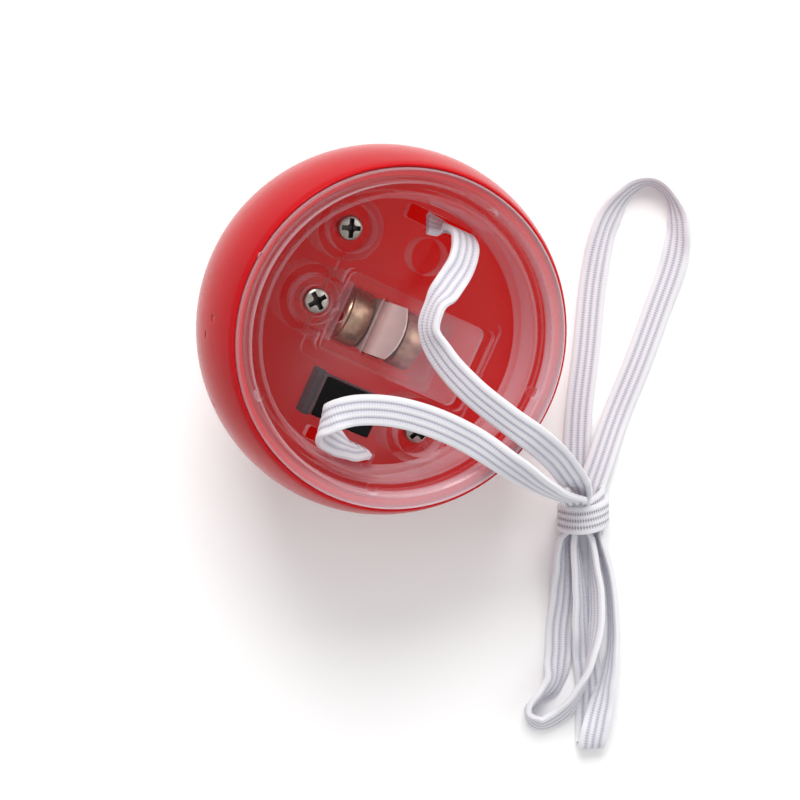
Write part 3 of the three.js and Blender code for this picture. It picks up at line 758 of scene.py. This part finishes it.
def filled_faces(rows):
    """One face direction a row, with gaps filled and each turned to suit the one before."""
    known = [k for k, row in enumerate(rows) if row[1] is not None]
    faces = [row[1].normalized() if row[1] is not None else None for row in rows]
    for a, b in zip(known, known[1:]):
        if faces[b].dot(faces[a]) < 0:
            for k in known[known.index(b):]:
                faces[k] = -faces[k]
        for k in range(a + 1, b):
            faces[k] = faces[a].lerp(faces[b], (k - a) / (b - a)).normalized()
    return faces


def ribbed_section(sizes):
    """(across, up, groove) rows of half the elastic's section, with its round ribs."""
    half_width, half_thick = sizes.strap_width / 2, sizes.strap_thickness / 2
    rows = []
    for rib in range(RIBS):
        middle = (2 * rib + 1) / RIBS - 1
        for k in range(0 if rib == 0 else 1, RIB_STEPS + 1):
            side = 2 * k / RIB_STEPS - 1
            across = middle + side / RIBS
            crest = (1 - side * side) ** 0.7
            edge = 1 - 0.25 * abs(across) ** 3
            depth = abs(side) ** 1.2 if abs(across) < 0.8 else 0.0
            height = half_thick * (RIB_CORE * edge + (1 - RIB_CORE) * crest)
            rows.append((half_width * across, height, depth))
    return rows


def strap_mesh(sizes):
    """The whole elastic as one ribbed ribbon, and the points of its centre line."""
    line = followed(strap_rows(), STRAP_STEP)
    top = ribbed_section(sizes)
    section = [(-a, u, g) for a, u, g in top] + [(a, -u, g) for a, u, g in top]
    made = bmesh.new()
    groove = made.verts.layers.float.new("groove")
    along_layer = made.verts.layers.float.new("along")
    pulled = made.verts.layers.float.new("pulled")
    travelled, before, rings = 0.0, line[0][0], []
    for spot, direction, face, squeeze in line:
        travelled += (spot - before).length
        before = spot
        across = face.cross(direction).normalized()
        up = direction.cross(across).normalized()
        ring = []
        narrow = min(1.0, squeeze / WRAPPED)
        for sideways, lift, depth in section:
            vert = made.verts.new(spot + across * sideways * narrow + up * lift * squeeze)
            vert[groove] = depth
            vert[along_layer] = travelled
            vert[pulled] = min(1.0, (1.0 - squeeze) / (1.0 - WRAPPED))
            ring.append(vert)
        rings.append(ring)
    join(made, rings)
    bmesh.ops.recalc_face_normals(made, faces=made.faces)
    mesh = bpy.data.meshes.new("strap")
    made.to_mesh(mesh)
    made.free()
    return mesh, [place[0] for place in line]


# The ball and the back, in the back's layout
def shell_mesh(wall):
    """The hollow ball with a softly rounded open edge."""
    def arc(radius, height, count):
        end = math.pi / 2 + math.asin(height / radius)
        angles = [end * k / count for k in range(count + 1)]
        return [(radius * math.sin(a) if k else 0.0, -radius * math.cos(a))
                for k, a in enumerate(angles)]

    outside, inside = arc(BALL_RADIUS, SHELL_SKIN, 48), arc(BALL_RADIUS - wall, SHELL_EDGE, 44)
    (outer_r, _), (inner_r, _) = outside[-1], inside[-1]
    edge = [(outer_r - 0.10, SHELL_SKIN + 0.08), (outer_r - 0.28, SHELL_SKIN + 0.04),
            (outer_r - 0.34, SHELL_SKIN - 0.1), (outer_r - 0.34, SHELL_EDGE + 0.05),
            (inner_r + 0.2, SHELL_EDGE + 0.05)]
    return turned(outside + edge + inside[::-1], 128)


def back_mesh():
    """The clear back: lip, flange, well, battery box, bosses, slots, window and mould marks."""
    cup = turned([
        (0, FLOOR_UNDER), (19.76, FLOOR_UNDER), (19.8, 7.2), (21.15, 7.2), (21.15, 9.7),
        (22.4, 9.7), (22.4, 10.6), (22.15, LIP_TOP), (20.7, LIP_TOP), (20.4, 10.6),
        (20.4, FLANGE_TOP), (19.3, FLANGE_TOP), (19.12, 8.9), (18.78, 8.9), (18.6, FLANGE_TOP),
        (18.0, FLOOR_TOP), (0, FLOOR_TOP),
    ], 160)
    root = (FLOOR_UNDER + FLOOR_TOP) / 2
    above = FLOOR_TOP + 1
    steps = [
        ("UNION", prism(rectangle(25.4, 14.5, BATTERY_X, 0, 1.2), 0.5, root)),
        ("UNION", prism(rectangle(17.4, 10.9, 0.8, 0, 0.8), -8.1, root)),
        ("UNION", prism(circle(4.8, COVER_SCREW_X, 0), -5.4, root)),
        ("DIFFERENCE", prism(rectangle(23.0, 12.1, BATTERY_X, 0, 1.1), 1.7, above)),
        ("DIFFERENCE", prism(rectangle(15.0, 8.5, 0.8, 0), -6.9, 2.4)),
        ("DIFFERENCE", prism(circle(3.6, COVER_SCREW_X, 0), 0.5, above)),
        ("DIFFERENCE", prism(rectangle(3.4, 7.2, -9.4, 0), 0.5, above)),
        ("DIFFERENCE", prism(circle(SCREW_HOLE, COVER_SCREW_X, 0, 20), -4.4, 0.9)),
    ]
    cup_screws = [polar(CUP_SCREW_RADIUS, angle) for angle in CUP_SCREW_ANGLES]
    for x, y in cup_screws:
        steps.append(("UNION", prism(circle(4.5, x, y), -5.8, root)))
    for x, y in cup_screws:
        steps.append(("DIFFERENCE", prism(circle(3.3, x, y), 0.2, above)))
        steps.append(("DIFFERENCE", prism(circle(SCREW_HOLE, x, y, 20), -4.8, 1)))
    for x, y, width in ((0.6, 16.1, 2.1), (0.4, -16.4, 1.8)):
        steps.append(("DIFFERENCE", prism(rectangle(10.2, width, x, y, 0.4), 0, FLOOR_TOP + 0.4)))
    steps.append(("UNION", prism(circle(2.6, 1.45, 11.6, 32), -1.5, root)))
    window = rectangle(8.9, 5.7, WINDOW_X, SWITCH_Y, 0.3)
    steps.append(("DIFFERENCE", prism(window, 0, above)))
    for angle in (-136, -76, 2, 78):
        mark = circle(0.75, *polar(20.2, angle), 20)
        steps.append(("DIFFERENCE", prism(mark, FLANGE_TOP - 0.3, FLANGE_TOP + 1)))
    steps.append(("UNION", prism(circle(0.6, *polar(22.1, 174), 16), 9.9, LIP_TOP)))
    return carved(cup, *steps)


def cover_mesh():
    """The clear battery cover: plate, screw tongue, slit for the strip and a small hole."""
    plate = prism(rectangle(20.8, 11.5, 2.4, 0, 1.1), 2.0, 3.0)
    return carved(
        plate,
        ("UNION", prism(circle(3.3, COVER_SCREW_X, 0), 0.8, 3.0)),
        ("UNION", prism(rectangle(4.6, 6.6, -8.5, 0), 2.0, 3.0)),
        ("DIFFERENCE", prism(circle(2.1, COVER_SCREW_X, 0), 1.5, 4)),
        ("DIFFERENCE", prism(circle(SCREW_HOLE, COVER_SCREW_X, 0, 20), 0, 4)),
        ("DIFFERENCE", prism(rectangle(0.85, 8.0, TAB_X, 0, 0.2), 1, 4)),
        ("DIFFERENCE", prism(circle(0.9, -7.2, -0.6, 24), 1, 4)),
    )


def screw_mesh():
    """A cross-head screw whose head's underside is at height zero."""
    blank = turned([
        (0, -4.7), (0.34, -4.7), (0.85, -3.85), (0.85, 0), (1.7, 0), (1.7, 0.72),
        (1.62, 0.95), (1.4, 1.1), (1.0, 1.18), (0, 1.2),
    ], 40)
    low, high = 0.1, 2
    mesh = carved(
        blank,
        ("DIFFERENCE", prism(rectangle(2.6, 0.62), low, high)),
        ("DIFFERENCE", prism(rectangle(0.62, 2.6), low, high)),
        ("DIFFERENCE", prism(circle(0.6, segments=16), low - 0.4, high)),
    )
    # Painted shade: faces inside the cross recess are marked to be coloured near black
    painted_recess_shade = mesh.attributes.new("painted_recess_shade", "FLOAT", "FACE")
    for face in mesh.polygons:
        x, y, height = face.center / MM
        in_cross = math.hypot(x, y) < 1.37 and -0.4 < height < 1.1
        painted_recess_shade.data[face.index].value = 1.0 if in_cross else 0.0
    return mesh


def cell_mesh():
    """A button cell on edge whose narrower pole faces -x."""
    mesh = turned([
        (0, 0), (2.9, 0), (3.15, 0.06), (3.35, 0.26), (3.42, 0.5), (3.75, 0.52), (3.9, 0.62),
        (3.95, 0.8), (3.95, 3.4), (3.85, 3.55), (3.7, 3.6), (0, 3.6),
    ], 64)
    mesh.transform(Matrix.Rotation(math.radians(90), 4, "Y"))
    return mesh


def tab_mesh():
    """The milky strip, curling over towards +x with a softly rounded free end."""
    path = [(TAB_X, -3.8), (TAB_X, 3.4), (-1.88, 3.9), (-1.78, 4.35), (-1.55, 4.7), (-1.2, 4.93),
            (-0.7, 5.04), (0.0, 5.06), (0.7, 5.02), (1.05, 4.97), (1.35, 4.92)]
    shares = [2 * j / TAB_SPANS - 1 for j in range(TAB_SPANS + 1)]
    made = bmesh.new()
    # Marks the ring at the free end, where the painted highlight goes
    painted_edge_highlight = made.verts.layers.float.new("painted_edge_highlight")
    rings = []
    for k, (x, w) in enumerate(path):
        before, after = path[max(k - 1, 0)], path[min(k + 1, len(path) - 1)]
        run = Vector((after[0] - before[0], after[1] - before[1])).normalized()
        side = Vector((-run.y, run.x)) * (TAB_THICKNESS / 2)
        lean = 0.35 * k / len(path)
        ring = []
        for s, across in ((1, shares), (-1, shares[::-1])):
            for share in across:
                reach = (x - TAB_X) * (1 - 0.32 * abs(share) ** 2.2) + TAB_X
                at = (reach + side.x * s, share * TAB_HALF_WIDTH + lean, w + side.y * s)
                vert = made.verts.new(Vector(at) * MM)
                vert[painted_edge_highlight] = 1.0 if k == len(path) - 1 else 0.0
                ring.append(vert)
        rings.append(ring)
    join(made, rings)
    return closed(made)


# Operators
class BuildStage(bpy.types.Operator):
    """Lay out the pale table, the soft light and the camera"""

    bl_idname = "clown_nose.stage"
    bl_label = "Stage"

    def execute(self, context):
        colours = context.scene.nose_colours
        table = prism(rectangle(1800, 1800), -20, 0)
        table.materials.append(table_finish(colours))
        floor = bpy.data.objects.new("table", table)
        context.collection.objects.link(floor)
        add_light(context, "window_light", place=(-0.02, 0.48, 0.50), size=0.38, power=4.3,
                  colour=(1.0, 0.99, 0.98))
        add_light(context, "side_light", place=(0.55, 0.05, 0.40), size=0.40, power=0.6,
                  colour=(0.97, 0.98, 1.0))
        world = bpy.data.worlds.new("soft_room")
        context.scene.world = world
        world.use_nodes = True
        background = world.node_tree.nodes["Background"]
        background.inputs["Color"].default_value = WHITE
        background.inputs["Strength"].default_value = 0.70
        context.scene.view_settings.view_transform = "Standard"
        camera = bpy.data.cameras.new("camera")
        camera.lens = 78.48
        camera.sensor_width = 36
        camera.clip_start = 0.01
        watcher = bpy.data.objects.new("camera", camera)
        context.collection.objects.link(watcher)
        watcher.location = (0.0025, -0.0095, 0.2614)
        context.scene.camera = watcher
        return {"FINISHED"}


def add_light(context, name, place, size, power, colour):
    """A square soft light that looks at the nose."""
    lamp = bpy.data.lights.new(name, "AREA")
    lamp.size = size
    lamp.energy = power
    lamp.color = colour
    made = bpy.data.objects.new(name, lamp)
    context.collection.objects.link(made)
    made.location = place
    aim = Vector((0.005, -0.005, 0.02)) - Vector(place)
    made.rotation_euler = aim.to_track_quat("-Z", "Y").to_euler()


class BuildStrap(bpy.types.Operator):
    """Lay the ribbed elastic along its route and round its knot"""

    bl_idname = "clown_nose.strap"
    bl_label = "Strap"

    def execute(self, context):
        sizes, colours = context.scene.nose_sizes, context.scene.nose_colours
        mesh, line = strap_mesh(sizes)
        material = elastic_finish(colours, sizes)
        made = piece("strap", mesh, material, "nose", "white_elastic",
                     "strap_run_a", "strap_run_b", "strap_loop_up", "strap_loop_down_1",
                     "strap_loop_down_2", "strap_knot", where=Matrix.Identity(4))
        line[::4] + [line[-1]]
        return {"FINISHED"}


class BuildBall(bpy.types.Operator):
    """Make the hollow red vinyl ball"""

    bl_idname = "clown_nose.ball"
    bl_label = "Red ball"

    def execute(self, context):
        sizes, colours = context.scene.nose_sizes, context.scene.nose_colours
        piece("ball", shell_mesh(sizes.shell_wall / MM), vinyl_finish(colours, sizes.shell_wall),
              "nose", "red_vinyl", "nose_shell")
        return {"FINISHED"}


class BuildBack(bpy.types.Operator):
    """Make the clear back and its battery cover"""

    bl_idname = "clown_nose.back"
    bl_label = "Clear back"

    def execute(self, context):
        colours, softness = context.scene.nose_colours, context.scene.nose_sizes.edge_softness
        material = clear_finish(colours, "clear_back", FLOOR_SPOT, milk=0.03)
        piece("clear_back", back_mesh(), material, "nose",
              "clear_plastic", "back_cup", softness=softness)
        material = clear_finish(colours, "clear_cover", COVER_SPOT, milk=0.12)
        piece("cover", cover_mesh(), material, "nose",
              "clear_plastic", "battery_cover", softness=softness * 0.8)
        return {"FINISHED"}


class BuildBatteries(bpy.types.Operator):
    """Make the three button cells and the strip between them"""

    bl_idname = "clown_nose.batteries"
    bl_label = "Button cells and pull tab"

    def execute(self, context):
        colours = context.scene.nose_colours
        material = steel_finish(colours.cell, "cell_steel", 1.0)
        for number, start in enumerate(CELL_STARTS, 1):
            where = LAYOUT @ Matrix.Translation(Vector((start, 0, CELL_HEIGHT)) * MM)
            piece(f"cell_{number}", cell_mesh(), material, "nose", "steel",
                  f"button_cell_{number}", where=where)
        piece("strip", tab_mesh(), film_finish(colours), "nose", "milky_plastic", "pull_tab")
        return {"FINISHED"}


class BuildScrews(bpy.types.Operator):
    """Make the three cross-head screws"""

    bl_idname = "clown_nose.screws"
    bl_label = "Screws"

    def execute(self, context):
        material = steel_finish(context.scene.nose_colours.steel, "screw_steel", 0.75)
        first, last = (polar(CUP_SCREW_RADIUS, angle) for angle in CUP_SCREW_ANGLES)
        seats = ((*first, 0.5, 20), (COVER_SCREW_X, 0, 1.8, 52), (*last, 0.5, 65))
        for number, (x, y, seat, turn) in enumerate(seats, 1):
            where = (LAYOUT @ Matrix.Translation(Vector((x, y, seat)) * MM)
                     @ Matrix.Rotation(math.radians(turn), 4, "Z"))
            piece(f"cross_screw_{number}", screw_mesh(), material, "nose", "steel",
                  f"screw_{number}", softness=0.04 * MM, where=where)
        return {"FINISHED"}


class BuildSwitch(bpy.types.Operator):
    """Make the black switch housing and its push button"""

    bl_idname = "clown_nose.switch"
    bl_label = "Switch"

    def execute(self, context):
        colours = context.scene.nose_colours
        housing = carved(
            prism(rectangle(9.2, 5.9, WINDOW_X, SWITCH_Y, 0.2), -2.0, 1.2),
            ("UNION", prism(rectangle(1.0, 6.5, WINDOW_X - 4.7, SWITCH_Y, 0.2), -1.9, 1.15)),
            ("DIFFERENCE", prism(rectangle(8.9, 5.7, WINDOW_X, SWITCH_Y, 0.2), -1.5, 2)),
        )
        piece("switch_housing", housing, switch_finish(colours, "housing_plastic", 3.0), "nose",
              "black_plastic", "switch_body", softness=0.12 * MM)
        button = prism(rectangle(8.7, 5.5, WINDOW_X, SWITCH_Y, 0.2), -0.1, 2.8)
        piece("push_button", button, switch_finish(colours, "button_plastic", 0.4), "button",
              "black_plastic", "switch_button", softness=0.10 * MM)
        return {"FINISHED"}


class NosePanel(bpy.types.Panel):
    """Buttons and sizes of the clown nose in the sidebar"""

    bl_idname = "VIEW3D_PT_clown_nose"
    bl_label = "Clown Nose"
    bl_space_type = "VIEW_3D"
    bl_region_type = "UI"
    bl_category = "Clown Nose"

    def draw(self, context):
        for operator in OPERATORS:
            self.layout.operator(operator.bl_idname)
        for group in (context.scene.nose_sizes, context.scene.nose_colours):
            for name in group.bl_rna.properties.keys():
                if name not in ("rna_type", "name"):
                    self.layout.prop(group, name)


OPERATORS = (
    BuildStage, BuildStrap, BuildBall, BuildBack, BuildBatteries, BuildScrews, BuildSwitch)
CLASSES = (NoseSizes, NoseColours, *OPERATORS, NosePanel)


def register():
    for cls in CLASSES:
        bpy.utils.register_class(cls)
    bpy.types.Scene.nose_sizes = PointerProperty(type=NoseSizes)
    bpy.types.Scene.nose_colours = PointerProperty(type=NoseColours)


def unregister():
    del bpy.types.Scene.nose_colours
    del bpy.types.Scene.nose_sizes
    for cls in reversed(CLASSES):
        bpy.utils.unregister_class(cls)


def main():
    register()
    bpy.ops.clown_nose.stage()
    bpy.ops.clown_nose.strap()
    bpy.ops.clown_nose.ball()
    bpy.ops.clown_nose.back()
    bpy.ops.clown_nose.batteries()
    bpy.ops.clown_nose.screws()
    bpy.ops.clown_nose.switch()


if __name__ == "__main__":
    main()
